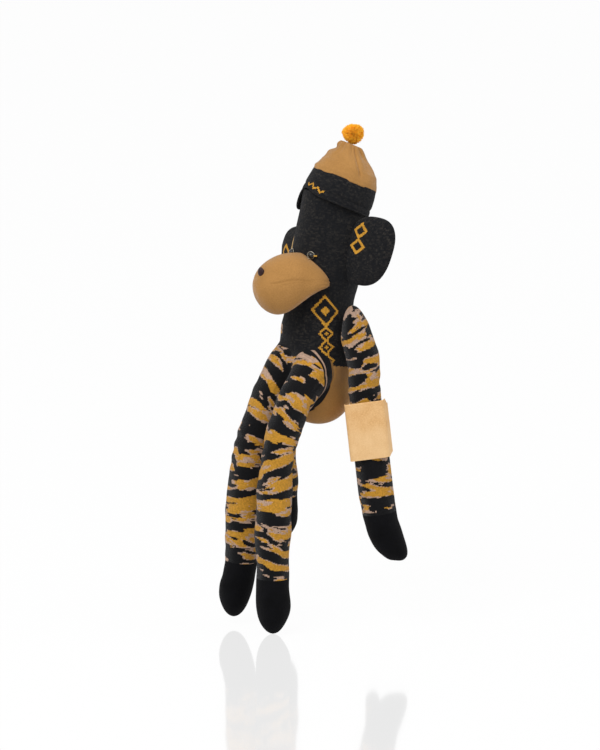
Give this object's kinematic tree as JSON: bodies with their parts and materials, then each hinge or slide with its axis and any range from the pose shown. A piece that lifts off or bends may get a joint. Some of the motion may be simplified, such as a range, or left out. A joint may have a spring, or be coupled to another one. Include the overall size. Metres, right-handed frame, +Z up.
{
  "type": "sock monkey doll",
  "caption": "Stuffed sock monkey doll with a muzzle, round ears, hat and pompom; it hangs by its nape or sits, and its head, arms, legs and tail move.",
  "frame": {"origin": "the point between the shoulders, on the torso's back surface, that holds the hanging doll", "axes": "+Z up towards the hat, +X to the doll's left, -Y the way that the face looks"},
  "size_m": [0.1816, 0.1715, 0.4744],
  "materials": {
    "heather_knit": "dark heather knit with faint brown-grey flecks",
    "tan_knit": "plain tan jersey knit",
    "camouflage_knit": "tiger-stripe camouflage knit in black, gold and beige",
    "black_knit": "plain black knit",
    "pompom_yarn": "cut orange-yellow yarn",
    "kraft_paper": "blank kraft paper",
    "brown_bead": "dark brown, satin",
    "black_bead": "black, glossy",
    "pale_metal": "polished rim"
  },
  "bodies": {
    "torso_body": {"torso": "heather_knit", "seat_heel": "tan_knit"},
    "head_body": {"head": "heather_knit", "muzzle": "tan_knit", "nose_bead": "brown_bead", "left_eye_bead": "black_bead", "right_eye_bead": "black_bead", "left_eye_sequin": "pale_metal", "right_eye_sequin": "pale_metal", "left_ear": "heather_knit", "right_ear": "heather_knit", "hat_brim": "heather_knit", "hat_crown": "tan_knit", "pompom": "pompom_yarn"},
    "left_arm_body": {"left_arm": "camouflage_knit", "left_hand": "black_knit"},
    "right_arm_body": {"right_arm": "camouflage_knit", "right_hand": "black_knit"},
    "left_leg_body": {"left_leg": "camouflage_knit", "left_foot": "black_knit"},
    "right_leg_body": {"right_leg": "camouflage_knit", "right_foot": "black_knit"},
    "tail_body": {"tail": "camouflage_knit"},
    "paper_sleeve_body": {"paper_sleeve": "kraft_paper"}
  },
  "joints": [
    {"name": "neck_nod", "type": "hinge", "parent": "torso_body", "child": "head_body", "pos_m": [0, -0.0328, 0.019], "axis": [1, 0, 0], "range_deg": [-15, 7], "stiffness_Nm_per_rad": 0.5},
    {"name": "left_shoulder_swing", "type": "hinge", "parent": "torso_body", "child": "left_arm_body", "pos_m": [0.0456, -0.0284, 0.0085], "axis": [-1, 0, 0], "range_deg": [-60, 110], "stiffness_Nm_per_rad": 0.05, "springref_deg": 1.15},
    {"name": "right_shoulder_swing", "type": "hinge", "parent": "torso_body", "child": "right_arm_body", "pos_m": [-0.0431, -0.023, 0.0085], "axis": [-1, 0, 0], "range_deg": [-60, 110], "stiffness_Nm_per_rad": 0.05, "springref_deg": 0.57},
    {"name": "left_hip_swing", "type": "hinge", "parent": "torso_body", "child": "left_leg_body", "pos_m": [0.0192, -0.056, -0.039], "axis": [-1, 0, 0], "range_deg": [-5, 80], "stiffness_Nm_per_rad": 0.1, "springref_deg": 5.16},
    {"name": "right_hip_swing", "type": "hinge", "parent": "torso_body", "child": "right_leg_body", "pos_m": [-0.0192, -0.056, -0.039], "axis": [-1, 0, 0], "range_deg": [-5, 80], "stiffness_Nm_per_rad": 0.1, "springref_deg": 5.16},
    {"name": "tail_swing", "type": "hinge", "parent": "torso_body", "child": "tail_body", "pos_m": [0, -0.001, -0.019], "axis": [1, 0, 0], "range_deg": [-10, 60], "stiffness_Nm_per_rad": 0.02, "springref_deg": 2.58},
    {"name": "sleeve_slide", "type": "slide", "parent": "left_arm_body", "child": "paper_sleeve_body", "axis": [0.1475, 0.0673, -0.9868], "range_m": [-0.006, 0.03]}
  ]
}
